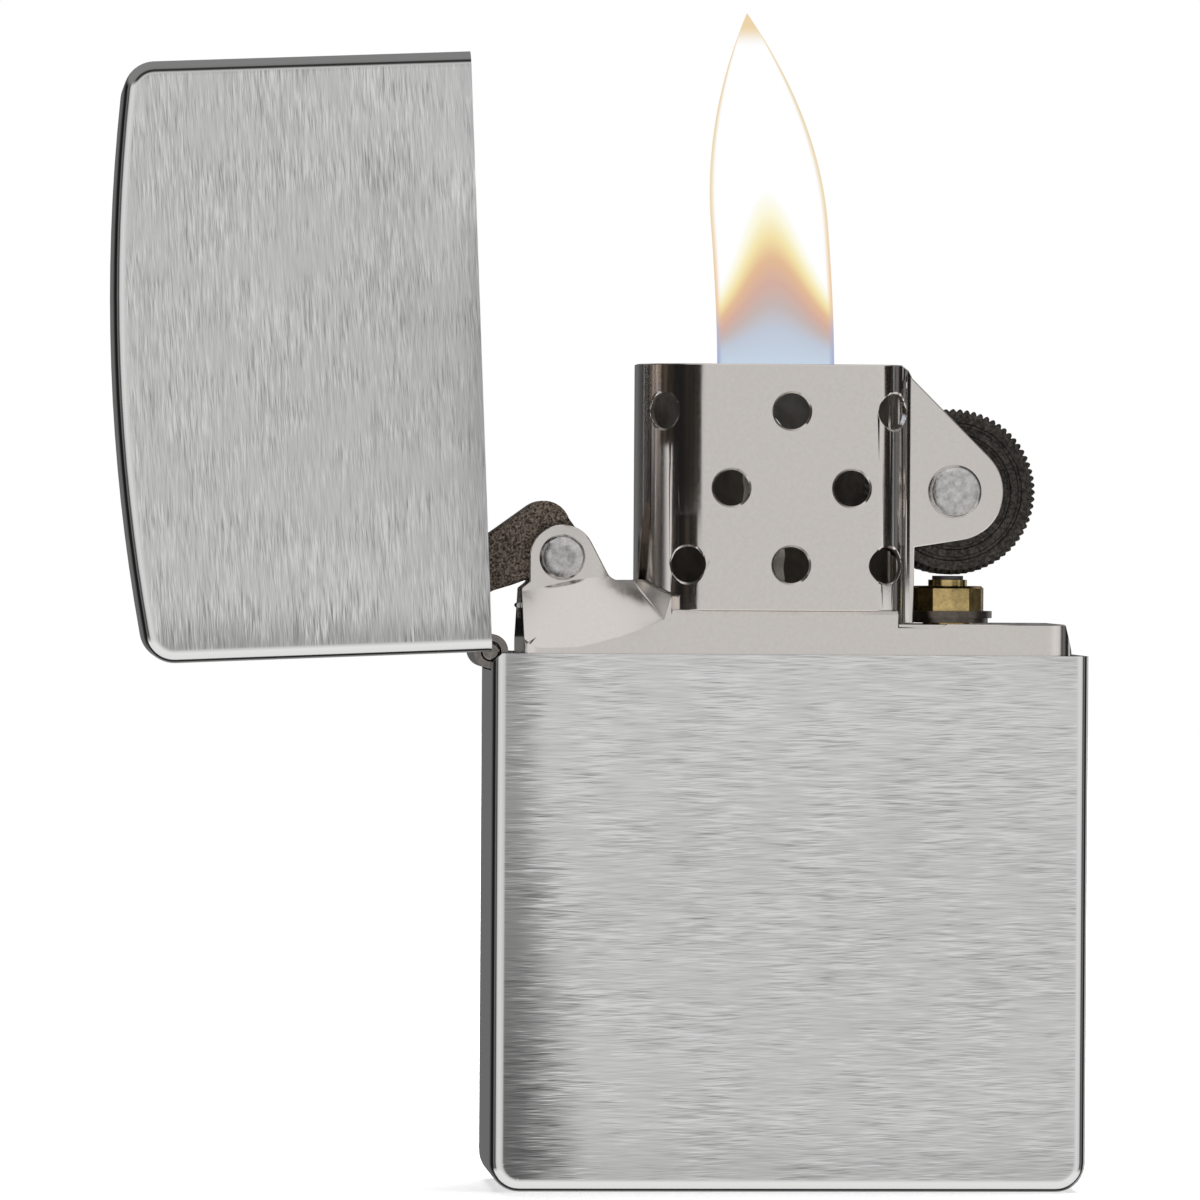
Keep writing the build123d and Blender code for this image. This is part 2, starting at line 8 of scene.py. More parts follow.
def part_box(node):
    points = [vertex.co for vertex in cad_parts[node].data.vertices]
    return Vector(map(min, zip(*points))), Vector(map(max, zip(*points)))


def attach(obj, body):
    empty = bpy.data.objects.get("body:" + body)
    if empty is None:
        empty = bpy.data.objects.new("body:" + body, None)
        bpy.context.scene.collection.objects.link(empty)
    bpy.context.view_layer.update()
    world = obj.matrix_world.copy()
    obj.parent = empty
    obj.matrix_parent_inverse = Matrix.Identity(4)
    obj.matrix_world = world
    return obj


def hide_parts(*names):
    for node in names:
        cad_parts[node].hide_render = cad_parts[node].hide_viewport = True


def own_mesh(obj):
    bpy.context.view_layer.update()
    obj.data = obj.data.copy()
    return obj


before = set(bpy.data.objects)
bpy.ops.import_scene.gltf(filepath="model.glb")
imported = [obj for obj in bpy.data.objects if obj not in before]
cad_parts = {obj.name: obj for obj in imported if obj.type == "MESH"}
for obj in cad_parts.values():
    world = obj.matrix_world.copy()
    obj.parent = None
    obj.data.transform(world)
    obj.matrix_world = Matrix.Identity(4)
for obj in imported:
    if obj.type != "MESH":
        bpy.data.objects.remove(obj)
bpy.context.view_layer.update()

# A flip-top petrol lighter with its lid standing open and its wick lit. Everything is in metres.
# x runs from the hinge to the flint wheel, the front faces -y, and z is up.
MM = 0.001

# ------------------------------------------------------------------ places taken from the frame
case_low, case_high = (Vector(corner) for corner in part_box("case_shell"))
lid_low, lid_high = (Vector(corner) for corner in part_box("lid_shell"))
wheel_low, wheel_high = (Vector(corner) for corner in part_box("flint_wheel"))
wick_low, wick_high = (Vector(corner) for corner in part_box("wick"))
wheel_centre = (wheel_low + wheel_high) / 2
face_y = case_high.y
screen_low_x, screen_high_x = -9.55 * MM, 7.1 * MM
screen_floor_z = 37.4 * MM
screen_top_z = Vector(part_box("insert_shell")[1]).z
# a sheet bent less than this at one edge, in degrees, is shaded as one smooth face
bend_angle = 28


# ------------------------------------------------------------------ small helpers
def material_tree(name):
    """A new material with its nodes cleared down to one Principled shader."""
    material = bpy.data.materials.new(name)
    material.use_nodes = True
    tree = material.node_tree
    shader = tree.nodes["Principled BSDF"]
    return material, tree, shader


def link(tree, source, target):
    tree.links.new(source, target)


def noise(tree, vector, detail=2.0, roughness=0.5, distortion=0.0):
    """A noise texture's value. The pattern's size is set by its coordinates."""
    texture = tree.nodes.new("ShaderNodeTexNoise")
    texture.inputs["Scale"].default_value = 1.0
    texture.inputs["Detail"].default_value = detail
    texture.inputs["Roughness"].default_value = roughness
    texture.inputs["Distortion"].default_value = distortion
    link(tree, vector, texture.inputs["Vector"])
    return texture.outputs["Fac"]


def ramp(tree, value, stops, interpolation="LINEAR"):
    """A colour ramp; each stop is a position and a grey or a colour."""
    node = tree.nodes.new("ShaderNodeValToRGB")
    node.color_ramp.interpolation = interpolation
    elements = node.color_ramp.elements
    while len(elements) < len(stops):
        elements.new(0.5)
    for element, (position, tone) in zip(elements, stops):
        colour = tone if isinstance(tone, tuple) else (tone, tone, tone)
        element.position = position
        element.color = (*colour, 1.0)
    link(tree, value, node.inputs["Fac"])
    return node.outputs["Color"]


def math_node(tree, operation, first, second=None, third=None):
    """A math node on sockets or numbers."""
    node = tree.nodes.new("ShaderNodeMath")
    node.operation = operation
    for socket, value in zip(node.inputs, (first, second, third)):
        if value is None:
            continue
        if isinstance(value, (int, float)):
            socket.default_value = value
        else:
            link(tree, value, socket)
    return node.outputs["Value"]


def mix_colour(tree, factor, first, second, blend="MIX"):
    """Two colours mixed; each argument is a socket or a constant."""
    node = tree.nodes.new("ShaderNodeMix")
    node.data_type = "RGBA"
    node.blend_type = blend
    for name, value in (("Factor", factor), ("A", first), ("B", second)):
        sockets = [s for s in node.inputs if s.name == name and s.enabled]
        socket = sockets[0]
        if isinstance(value, (int, float)):
            socket.default_value = value
        elif isinstance(value, tuple):
            socket.default_value = (*value, 1.0)
        else:
            link(tree, value, socket)
    return [s for s in node.outputs if s.name == "Result" and s.enabled][0]


def bump(tree, shader, height, strength, distance):
    """A bump on the shader's normal."""
    node = tree.nodes.new("ShaderNodeBump")
    node.inputs["Strength"].default_value = strength
    node.inputs["Distance"].default_value = distance
    link(tree, height, node.inputs["Height"])
    link(tree, node.outputs["Normal"], shader.inputs["Normal"])
    return node


def give(names, material):
    """Put one material on CAD nodes."""
    for name in names:
        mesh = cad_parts[name].data
        mesh.materials.clear()
        mesh.materials.append(material)


# ------------------------------------------------------------------ finishes
def pattern_coords(tree, size, turn=0.0):
    """Object coordinates for a pattern of this size in x, y and z, turned about y."""
    coords = tree.nodes.new("ShaderNodeTexCoord")
    mapping = tree.nodes.new("ShaderNodeMapping")
    mapping.vector_type = "TEXTURE"
    mapping.inputs["Rotation"].default_value = (0.0, turn, 0.0)
    mapping.inputs["Scale"].default_value = tuple(value * MM for value in size)
    link(tree, coords.outputs["Object"], mapping.inputs["Vector"])
    return mapping.outputs["Vector"]


def place_parts(tree):
    """The x, y and z of the shaded point."""
    coords = tree.nodes.new("ShaderNodeTexCoord")
    parts = tree.nodes.new("ShaderNodeSeparateXYZ")
    link(tree, coords.outputs["Object"], parts.inputs["Vector"])
    return parts.outputs["X"], parts.outputs["Y"], parts.outputs["Z"]


def smooth_range(tree, value, low, high, start=0.0, stop=1.0):
    """A value carried smoothly from start at low to stop at high."""
    node = tree.nodes.new("ShaderNodeMapRange")
    node.interpolation_type = "SMOOTHSTEP"
    node.inputs["From Min"].default_value = low
    node.inputs["From Max"].default_value = high
    node.inputs["To Min"].default_value = start
    node.inputs["To Max"].default_value = stop
    link(tree, value, node.inputs["Value"])
    return node.outputs["Result"]


def brushed_chrome(name, stroke_size, turn, tone, shade):
    """Brushed flat faces inside polished, rounded edges. shade gives the painted shade and painted
    highlight over each face.
    """
    stroke_contrast = 0.46
    short_stroke_share = 0.6
    short_stroke_lean = math.radians(6)
    face_tint = (1.0, 0.996, 0.99)
    polished_tone = (0.80, 0.795, 0.79)
    polished_roughness = 0.10
    brushed_roughness_gain = 0.24
    material, tree, shader = material_tree(name)
    strokes = noise(tree, pattern_coords(tree, stroke_size, turn), detail=2.0, roughness=0.75)
    short_size = tuple(
        value * short_stroke_share if value != 1.0 else value for value in stroke_size
    )
    leaning_coords = pattern_coords(tree, short_size, turn - short_stroke_lean)
    leaning = noise(tree, leaning_coords, detail=1.0, roughness=0.6)
    cloud = noise(tree, pattern_coords(tree, (3.5, 3.5, 3.0)), detail=3.0)
    contrast = ramp(tree, cloud, ((0.38, 0.35), (0.58, 1.0)))
    crisp = ramp(tree, strokes, ((0.30, 0.0), (0.44, 0.42), (0.56, 0.58), (0.70, 1.0)))
    fleck = ramp(tree, leaning, ((0.30, 0.0), (0.45, 0.46), (0.55, 0.54), (0.70, 1.0)))
    summed = math_node(tree, "ADD", crisp, fleck)
    centred = math_node(tree, "SUBTRACT", summed, 1.0)
    stroke = math_node(tree, "MULTIPLY", centred, contrast)
    brightness = math_node(tree, "MULTIPLY_ADD", stroke, stroke_contrast, tone)
    # painted shade and painted highlight: the shade map darkens and lightens the brushed tone
    brightness = math_node(tree, "MULTIPLY", brightness, shade(tree, stroke))
    # the flat faces are brushed, the rounding beside them is polished
    depth = math_node(tree, "ABSOLUTE", place_parts(tree)[1])
    face_mask = smooth_range(tree, depth, face_y - 0.035 * MM, face_y - 0.004 * MM)
    face_colour = mix_colour(tree, 1.0, face_tint, brightness, "MULTIPLY")
    colour = mix_colour(tree, face_mask, polished_tone, face_colour)
    link(tree, colour, shader.inputs["Base Color"])
    shader.inputs["Metallic"].default_value = 1.0
    rough = math_node(tree, "MULTIPLY_ADD", face_mask, brushed_roughness_gain, polished_roughness)
    link(tree, rough, shader.inputs["Roughness"])
    height = math_node(tree, "MULTIPLY", stroke, face_mask)
    bump(tree, shader, height, 0.30, 0.015 * MM)
    return material


def case_painted_shade(tree, stroke):
    """Painted shade down the case's hinge side, its edge ragged along the strokes, with a painted
    highlight towards the top and painted shade at the base.
    """
    x, _, z = place_parts(tree)
    polished_edge = 1.3 * MM
    reach_at_base = 5.6 * MM
    reach_lost_upward = -3.2 * MM
    raggedness = 1.7 * MM
    tone_at_base = 0.26
    tone_gained_upward = 0.34
    # painted shade down the hinge side, reaching further in towards the base
    height = smooth_range(tree, z, 2 * MM, 32 * MM)
    edge_reach = math_node(tree, "MULTIPLY_ADD", height, reach_lost_upward, reach_at_base)
    from_edge = math_node(tree, "SUBTRACT", x, case_low.x + polished_edge)
    ragged = math_node(tree, "MULTIPLY_ADD", stroke, raggedness, from_edge)
    near = math_node(tree, "DIVIDE", ragged, edge_reach)
    out_of_painted_shade = smooth_range(tree, near, 0.0, 1.0)
    floor_tone = math_node(tree, "MULTIPLY_ADD", height, tone_gained_upward, tone_at_base)
    spread = math_node(tree, "SUBTRACT", 1.0, floor_tone)
    side = math_node(tree, "MULTIPLY_ADD", out_of_painted_shade, spread, floor_tone)
    # painted highlight: up to 6% lighter towards the top
    top = smooth_range(tree, z, 20 * MM, 34 * MM, 1.0, 1.06)
    # painted shade: darker towards the base
    bottom = smooth_range(tree, z, 1.0 * MM, 5.0 * MM, 0.88, 1.0)
    return math_node(tree, "MULTIPLY", math_node(tree, "MULTIPLY", side, top), bottom)


def lid_painted_shade(tree, stroke):
    """Painted shade along the edge of the lid's rim and along its lower end as it stands open."""
    x, _, z = place_parts(tree)
    # painted shade: darker along the rim's edge and towards the lower end
    rim = smooth_range(tree, x, lid_high.x - 2.6 * MM, lid_high.x - 0.6 * MM, 1.0, 0.82)
    ragged = math_node(tree, "MULTIPLY_ADD", stroke, 2.2 * MM, z)
    low = smooth_range(tree, ragged, lid_low.z + 1.0 * MM, lid_low.z + 4.0 * MM, 0.70, 1.0)
    return math_node(tree, "MULTIPLY", rim, low)


def plain_metal(name, colour, roughness, grain=0.03, grain_size=0.25, relief=0.0):
    """A smooth metal with faint mottling."""
    material, tree, shader = material_tree(name)
    size = (grain_size, grain_size, grain_size)
    mottle = noise(tree, pattern_coords(tree, size), detail=4.0, roughness=0.65)
    dark = tuple(channel * (1 - 2.5 * grain) for channel in colour)
    light = tuple(min(1.0, channel * (1 + 2.5 * grain)) for channel in colour)
    link(tree, ramp(tree, mottle, ((0.3, dark), (0.7, light))), shader.inputs["Base Color"])
    shader.inputs["Metallic"].default_value = 1.0
    spread = ramp(tree, mottle, ((0.3, roughness * 0.85), (0.7, roughness * 1.15)))
    link(tree, spread, shader.inputs["Roughness"])
    if relief:
        bump(tree, shader, mottle, 0.6, relief * MM)
    return material


def speckled_metal(name, colour, roughness, fleck, fleck_size, relief):
    """A pressed and sintered, or hardened, dark metal with paler and darker flecks."""
    material, tree, shader = material_tree(name)
    size = (fleck_size, fleck_size, fleck_size)
    grains = noise(tree, pattern_coords(tree, size), detail=2.0, roughness=0.8)
    patches = noise(tree, pattern_coords(tree, (1.6, 1.6, 1.6)), detail=2.0)
    dark = tuple(channel * (1 - fleck) for channel in colour)
    light = tuple(min(1.0, channel * (1 + 1.6 * fleck)) for channel in colour)
    tone = ramp(tree, grains, ((0.36, dark), (0.5, colour), (0.64, light)))
    patch_tone = ramp(tree, patches, ((0.3, 0.82), (0.7, 1.08)))
    link(tree, mix_colour(tree, 1.0, tone, patch_tone, "MULTIPLY"), shader.inputs["Base Color"])
    shader.inputs["Metallic"].default_value = 0.75
    spread = ramp(tree, grains, ((0.3, roughness * 1.15), (0.7, roughness * 0.8)))
    link(tree, spread, shader.inputs["Roughness"])
    bump(tree, shader, grains, 0.7, relief * MM)
    return material


def soot(name):
    """The windscreen's inner wall, dull brown and black from the flame."""
    material, tree, shader = material_tree(name)
    smoke = noise(tree, pattern_coords(tree, (1.4, 1.4, 2.2)), detail=4.0, roughness=0.6)
    link(tree, ramp(tree, smoke, ((0.3, (0.05, 0.042, 0.034)), (0.7, (0.16, 0.14, 0.115)))),
         shader.inputs["Base Color"])
    shader.inputs["Metallic"].default_value = 0.4
    shader.inputs["Roughness"].default_value = 0.6
    bump(tree, shader, smoke, 0.4, 0.03 * MM)
    return material


def fibre(name, colour, strand=0.35, relief=0.15):
    """Cotton, felt or wick: matte, fluffy fibres."""
    material, tree, shader = material_tree(name)
    size = (strand, strand, strand)
    strands = noise(tree, pattern_coords(tree, size), detail=6.0, roughness=0.7, distortion=1.5)
    dark = tuple(channel * 0.7 for channel in colour)
    link(tree, ramp(tree, strands, ((0.3, dark), (0.7, colour))), shader.inputs["Base Color"])
    shader.inputs["Roughness"].default_value = 0.95
    shader.inputs["Sheen Weight"].default_value = 0.3
    bump(tree, shader, strands, 0.8, relief * MM)
    return material


# the case's brushed faces carry painted shade and a painted highlight, the lid's carry painted
# shade
chrome_case = brushed_chrome("brushed_case", (3.4, 1.0, 0.10), math.radians(3), 0.80, case_painted_shade)
chrome_lid = brushed_chrome("brushed_lid", (0.10, 1.0, 2.6), 0.0, 0.77, lid_painted_shade)
# painted shade: the polished hinge is coloured far darker than the case's chrome, standing in for
# the shade on its rolled knuckles
hinge_painted_shade = plain_metal("hinge_painted_shade", (0.23, 0.21, 0.195), 0.13, 0.10, 0.35, 0.004)
nickel = plain_metal("warm_nickel", (0.80, 0.755, 0.72), 0.15, 0.012, 0.22, 0.002)
sooty_nickel = soot("sooty_nickel")
rivet_metal = plain_metal("rivet_heads", (0.64, 0.625, 0.61), 0.24, 0.13, 0.45, 0.03)
wheel_steel = speckled_metal("hardened_wheel", (0.062, 0.055, 0.048), 0.5, 0.45, 0.22, 0.05)
cam_steel = speckled_metal("sintered_cam", (0.155, 0.125, 0.10), 0.5, 0.85, 0.14, 0.06)
brass = plain_metal("turned_brass", (0.62, 0.46, 0.20), 0.20, 0.14, 0.5, 0.01)
washer_metal = plain_metal("dark_washer", (0.17, 0.145, 0.125), 0.32, 0.12, 0.4)
spring_metal = plain_metal("spring_steel", (0.55, 0.55, 0.55), 0.25)
flint_metal = plain_metal("flint_stick", (0.25, 0.24, 0.24), 0.6)
cotton = fibre("cotton", (0.92, 0.91, 0.87))
felt = fibre("felt", (0.80, 0.79, 0.75), 0.2)
wick_fibre = fibre("wick", (0.72, 0.67, 0.58), 0.25)

give(["case_shell"], chrome_case)
give(["lid_shell"], chrome_lid)
give(["case_hinge_leaf", "lid_hinge_leaf", "hinge_pin"], hinge_painted_shade)
give(["insert_shell", "top_plate"], nickel)
give(["cam_rivet", "wheel_rivet", "cam_spring_rivet"], rivet_metal)
give(["flint_wheel"], wheel_steel)
give(["cam"], cam_steel)
give(["flint_tube", "tube_collar", "flint_screw", "spring_tip"], brass)
give(["tube_washer"], washer_metal)
give(["cam_spring", "flint_spring"], spring_metal)
give(["flint"], flint_metal)
give([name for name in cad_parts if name.startswith("cotton_wad")], cotton)
give(["felt_pad"], felt)
give(["wick"], wick_fibre)


# ------------------------------------------------------------------ pieces made here
same_point = 0.0005 * MM
same_plane = math.radians(0.3)


def piece(name, shape, materials, body, replaced):
    """Turn a bmesh into a piece that stands for a CAD node and moves with its body."""
    mesh = bpy.data.meshes.new(name)
    shape.to_mesh(mesh)
    shape.free()
    for material in materials:
        mesh.materials.append(material)
    thing = bpy.data.objects.new(name, mesh)
    bpy.context.scene.collection.objects.link(thing)
    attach(thing, body)
    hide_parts(replaced)
    return thing


def shade_by_angle(shape, degrees):
    """Smooth shading, with the edges past this angle left sharp."""
    limit = math.radians(degrees)
    for face in shape.faces:
        face.smooth = True
    for edge in shape.edges:
        edge.smooth = len(edge.link_faces) == 2 and edge.calc_face_angle(0.0) < limit


def merged_copy(node):
    """A CAD node's mesh with its loose triangles joined and its flat faces whole."""
    shape = bmesh.new()
    shape.from_mesh(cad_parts[node].data)
    bmesh.ops.remove_doubles(shape, verts=shape.verts, dist=same_point)
    bmesh.ops.dissolve_limit(
        shape, angle_limit=same_plane, verts=shape.verts, edges=shape.edges
    )
    return shape


def round_edges(skin, width, segments, sharpest_kept, clamp):
    """Round a piece's cut edges over by this width in millimetres, and keep its flat faces flat."""
    rounding = skin.modifiers.new("rounded_edges", "BEVEL")
    rounding.width = width * MM
    rounding.segments = segments
    rounding.limit_method = "ANGLE"
    rounding.angle_limit = math.radians(sharpest_kept)
    rounding.use_clamp_overlap = clamp
    weighting = skin.modifiers.new("flat_faces_stay_flat", "WEIGHTED_NORMAL")
    weighting.keep_sharp = True


def rounded_insert():
    """The insert with its cut edges rounded over and the windscreen's inside blackened."""
    shape = merged_copy("insert_shell")
    middle = Vector(((screen_low_x + screen_high_x) / 2, 0.0, 0.0))
    facing_in = 0.1
    for face in shape.faces:
        centre = face.calc_center_median()
        outward = (centre - middle) * Vector((1.0, 1.0, 0.0))
        inside = face.normal.dot(outward) < -facing_in * outward.length
        within = screen_low_x < centre.x < screen_high_x
        face.material_index = 1 if inside and within and centre.z > screen_floor_z else 0
    shade_by_angle(shape, bend_angle)
    finishes = [nickel, sooty_nickel]
    skin = piece("insert_skin", shape, finishes, "insert", "insert_shell")
    round_edges(skin, width=0.07, segments=2, sharpest_kept=50, clamp=False)


def rounded_part(name, node, material, body, width):
    """A CAD part with its cut edges rounded over by this width in millimetres."""
    shape = merged_copy(node)
    shade_by_angle(shape, bend_angle)
    skin = piece(name, shape, [material], body, node)
    round_edges(skin, width=width, segments=3, sharpest_kept=40, clamp=True)


def flint_coil():
    """The spring under the flint, a rigid copy of its CAD node."""
    shape = merged_copy("flint_spring")
    coil = piece("flint_coil", shape, [spring_metal], "insert", "flint_spring")
    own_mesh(coil)


def wick_strand():
    """The wick: a braided cord that runs up through the plate and tapers at its end."""
    radius = 1.38 * MM
    steps, around = 150, 36
    end_gap = 0.2 * MM
    turns_per_mm = 1.9
    strands = 3
    weave_depth = 0.07
    taper_start = 0.97
    taper = 0.45
    low_z, high_z = wick_low.z, wick_high.z - end_gap
    middle = Vector(((wick_low.x + wick_high.x) / 2, 0.0, 0.0))
    shape = bmesh.new()
    bmesh.ops.create_circle(shape, cap_ends=True, segments=around, radius=radius)
    shape.faces.ensure_lookup_table()
    foot = cap = shape.faces[0]
    rise = (high_z - low_z) / steps
    for _ in range(steps):
        grown = bmesh.ops.extrude_face_region(shape, geom=[cap])["geom"]
        if cap is not foot:
            bmesh.ops.delete(shape, geom=[cap], context="FACES_ONLY")
        cap = [item for item in grown if isinstance(item, bmesh.types.BMFace)][0]
        bmesh.ops.translate(shape, vec=(0, 0, rise), verts=cap.verts)
    for vert in shape.verts:
        angle = math.atan2(vert.co.y, vert.co.x)
        lay = vert.co.z / MM * turns_per_mm
        weave = math.cos(strands * angle + lay) * math.cos(strands * angle - lay)
        share = vert.co.z / (high_z - low_z)
        end = 1 - taper * max(0.0, (share - taper_start) / (1 - taper_start)) ** 2
        size = (1 - weave_depth + weave_depth * weave) * end
        vert.co = Vector((vert.co.x * size, vert.co.y * size, low_z + vert.co.z)) + middle
    bmesh.ops.recalc_face_normals(shape, faces=shape.faces)
    shade_by_angle(shape, 60)
    return piece("wick_braid", shape, [wick_fibre], "insert", "wick")


def knurled_wheel():
    """The flint wheel: rounded teeth that slant across its rim, and turned rings on its sides."""
    radius = (wheel_high.z - wheel_low.z) / 2
    half_width = (wheel_high.y - wheel_low.y) / 2
    teeth, points_per_tooth, steps = 72, 6, 6
    tooth_depth = 0.24 * MM
    tooth_roundness = 0.8
    rim_chamfer = 0.3 * MM
    slant = math.tau / teeth
    bore = 0.95 * MM
    shape = bmesh.new()
    bmesh.ops.create_circle(shape, cap_ends=True, segments=teeth * points_per_tooth, radius=radius)
    for vert in shape.verts:
        angle = math.atan2(vert.co.y, vert.co.x)
        rise = abs(math.cos(angle * teeth / 2)) ** tooth_roundness
        vert.co *= 1 - tooth_depth * (1 - rise) / radius
        vert.co.z = -half_width + rim_chamfer
    shape.faces.ensure_lookup_table()
    lower = shape.faces[0]
    upper = lower
    closed = []

    def grow(cap):
        """Extrude one end face and give the new end face."""
        grown = bmesh.ops.extrude_face_region(shape, geom=[cap])["geom"]
        if cap is not lower or cap in closed:
            bmesh.ops.delete(shape, geom=[cap], context="FACES_ONLY")
        return [item for item in grown if isinstance(item, bmesh.types.BMFace)][0]

    for _ in range(steps):
        upper = grow(upper)
        turn = Matrix.Rotation(slant / steps, 4, "Z")
        bmesh.ops.rotate(shape, cent=(0, 0, 0), matrix=turn, verts=upper.verts)
        rise = 2 * (half_width - rim_chamfer) / steps
        bmesh.ops.translate(shape, vec=(0, 0, rise), verts=upper.verts)
    # each side: a chamfer, then turned rings down to the bore, as radius and depth in millimetres
    rings = (
        (5.00, 0.0), (4.45, 0.0), (4.38, 0.09), (4.22, 0.09), (4.15, 0.0),
        (3.75, 0.0), (3.68, 0.07), (3.55, 0.07), (3.48, 0.0),
        (2.6, 0.0), (2.5, 0.12), (1.6, 0.12), (1.5, 0.0), (bore / MM, 0.0),
    )
    for cap, side in ((lower, -1.0), (upper, 1.0)):
        closed.append(cap)
        for ring_radius, depth in rings:
            cap = grow(cap)
            for vert in cap.verts:
                flat = Vector((vert.co.x, vert.co.y, 0.0)).normalized() * ring_radius * MM
                vert.co = (flat.x, flat.y, side * (half_width - depth * MM))
    ends = [face for face in shape.faces if len(face.verts) > 4]
    openings = list({edge for face in ends for edge in face.edges})
    bmesh.ops.delete(shape, geom=ends, context="FACES_ONLY")
    bmesh.ops.bridge_loops(shape, edges=openings)
    bmesh.ops.recalc_face_normals(shape, faces=shape.faces)
    upright = Matrix.Translation(wheel_centre) @ Matrix.Rotation(math.radians(90), 4, "X")
    bmesh.ops.transform(shape, matrix=upright, verts=shape.verts)
    shade_by_angle(shape, 30)
    return piece("knurled_wheel", shape, [wheel_steel], "flint_wheel", "flint_wheel")


def turned(profile, foot, axis):
    """A piece turned from half a section: points of radius and height along an axis, in mm."""
    around = 64
    shape = bmesh.new()
    points = [shape.verts.new((radius * MM, 0.0, height * MM)) for radius, height in profile]
    edges = [shape.edges.new(pair) for pair in zip(points, points[1:])]
    bmesh.ops.spin(
        shape, geom=points + edges, cent=(0, 0, 0), axis=(0, 0, 1),
        angle=math.tau, steps=around, use_merge=True,
    )
    bmesh.ops.remove_doubles(shape, verts=shape.verts, dist=0.001 * MM)
    bmesh.ops.recalc_face_normals(shape, faces=shape.faces)
    upright = Vector((0, 0, 1)).rotation_difference(Vector(axis)).to_matrix().to_4x4()
    bmesh.ops.transform(shape, matrix=Matrix.Translation(foot) @ upright, verts=shape.verts)
    shade_by_angle(shape, 32)
    return shape


def set_rivet(name, node, shaft_radius, head_height):
    """An axle rivet: a shaft and, at both ends, a coned head with a low rim and a dished middle."""
    low, high = (Vector(corner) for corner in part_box(node))
    centre = (low + high) / 2
    head = (high.z - low.z) / 2 / MM
    reach = (high.y - low.y) / 2 / MM
    seat = reach - head_height
    edge = (
        (shaft_radius, seat), (head, seat), (head + 0.02, seat + 0.06), (head, reach - 0.26),
        (head - 0.12, reach - 0.05), (head - 0.16, reach - 0.015), (head - 0.22, reach - 0.02),
        (head - 0.30, reach - 0.06), (0.5 * head, reach - 0.05), (0.25 * head, reach - 0.02),
        (0.0, reach),
    )
    lower = tuple((radius, -height) for radius, height in reversed(edge))
    shape = turned(lower + edge, centre, (0, 1, 0))
    return piece(name, shape, [rivet_metal], "insert", node)


rounded_insert()
rounded_part("case_hinge_roll", "case_hinge_leaf", hinge_painted_shade, "case", 0.13)
rounded_part("lid_hinge_roll", "lid_hinge_leaf", hinge_painted_shade, "lid", 0.13)
rounded_part("hinge_pin_end", "hinge_pin", hinge_painted_shade, "case", 0.15)
rounded_part("cam_body", "cam", cam_steel, "cam", 0.12)
flint_coil()
wick_strand()
knurled_wheel()
set_rivet("cam_axle", "cam_rivet", 0.8, 0.35)
set_rivet("wheel_axle", "wheel_rivet", 0.9, 0.45)


# ------------------------------------------------------------------ floor, backdrop and light
def flat_shade(name, brightness):
    """An even, glowing white for the backdrop."""
    material = bpy.data.materials.new(name)
    material.use_nodes = True
    tree = material.node_tree
    tree.nodes.clear()
    glow = tree.nodes.new("ShaderNodeEmission")
    glow.inputs["Strength"].default_value = brightness
    output = tree.nodes.new("ShaderNodeOutputMaterial")
    link(tree, glow.outputs["Emission"], output.inputs["Surface"])
    return material


def stage_object(name, mesh_builder, material):
    """A piece of the studio, made by a bmesh builder."""
    shape = bmesh.new()
    mesh_builder(shape)
    mesh = bpy.data.meshes.new(name)
    shape.to_mesh(mesh)
    shape.free()
    mesh.materials.append(material)
    thing = bpy.data.objects.new(name, mesh)
    bpy.context.scene.collection.objects.link(thing)
    return thing


floor_material, floor_tree, floor_shader = material_tree("pale_floor")
floor_shader.inputs["Base Color"].default_value = (0.95, 0.95, 0.95, 1.0)
floor_shader.inputs["Roughness"].default_value = 0.8
floor_shader.inputs["Emission Color"].default_value = (1.0, 1.0, 1.0, 1.0)
floor_shader.inputs["Emission Strength"].default_value = 0.45
floor_radius = 1.2
backdrop_radius = 6.0
floor = stage_object(
    "floor",
    lambda shape: bmesh.ops.create_circle(shape, cap_ends=True, segments=96, radius=floor_radius),
    floor_material,
)
floor.visible_glossy = False
backdrop = stage_object(
    "backdrop",
    lambda shape: bmesh.ops.create_icosphere(shape, subdivisions=4, radius=backdrop_radius),
    flat_shade("white_backdrop", 1.0),
)
backdrop.visible_glossy = False
backdrop.visible_diffuse = False
backdrop.visible_shadow = False

world = bpy.data.worlds.new("studio")
bpy.context.scene.world = world
world.use_nodes = True
sky = world.node_tree
background = sky.nodes["Background"]
direction = sky.nodes.new("ShaderNodeTexCoord")
axes = sky.nodes.new("ShaderNodeSeparateXYZ")
link(sky, direction.outputs["Generated"], axes.inputs["Vector"])
# one straight in front of the lighter, nought straight behind it
facing = math_node(sky, "MULTIPLY_ADD", axes.outputs["Y"], -0.5, 0.5)
sides = ramp(
    sky, facing,
    (
        (0.0, 0.15), (0.06, 0.11), (0.22, 0.012), (0.42, 0.015), (0.46, 0.16), (0.54, 0.16),
        (0.60, 0.015), (0.69, 0.72), (0.85, 0.82), (0.95, 0.68), (1.0, 0.66),
    ),
)
ceiling = ramp(
    sky, facing,
    (
        (0.0, 0.25), (0.55, 0.26), (0.74, 0.24), (0.80, 0.03), (0.88, 0.04), (0.94, 0.68),
        (1.0, 0.66),
    ),
)
ground = ramp(
    sky, facing,
    (
        (0.0, 0.5), (0.22, 0.02), (0.36, 0.02), (0.42, 0.9), (0.85, 0.95), (0.95, 0.68),
        (1.0, 0.66),
    ),
)
sides_end, sides_gone = 0.25, 0.45
above = smooth_range(sky, axes.outputs["Z"], sides_end, sides_gone)
below = smooth_range(sky, axes.outputs["Z"], -sides_end, -sides_gone)
surround = mix_colour(sky, above, sides, ceiling)
surround = mix_colour(sky, below, surround, ground)
